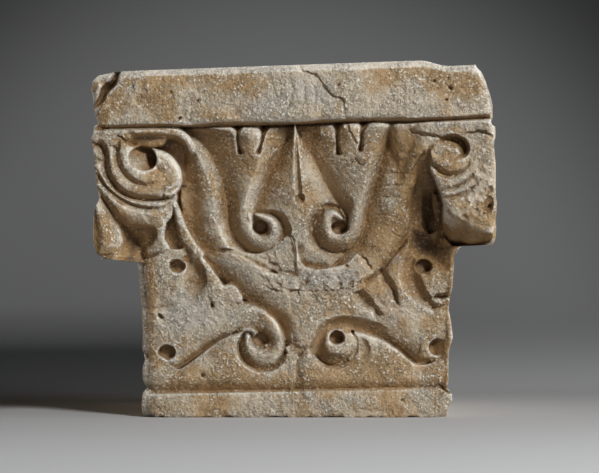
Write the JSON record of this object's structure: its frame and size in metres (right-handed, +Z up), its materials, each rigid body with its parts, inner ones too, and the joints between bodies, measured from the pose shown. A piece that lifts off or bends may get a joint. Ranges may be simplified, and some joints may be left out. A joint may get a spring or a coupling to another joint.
{
  "type": "carved stone capital",
  "caption": "Square stone capital with a plain slab on corner volutes, scrolled buds and rolled leaves in sunk relief, worn and chipped.",
  "frame": {"origin": "centre of the bounding box at the underside, where the capital stands", "axes": "+Z up, -Y out of the best preserved face, +X to the right of that face"},
  "size_m": [0.3241, 0.3243, 0.2879],
  "materials": {
    "stone": "worn, matt to faintly waxy"
  },
  "bodies": {
    "root": {"carved_capital": "stone"}
  },
  "joints": []
}
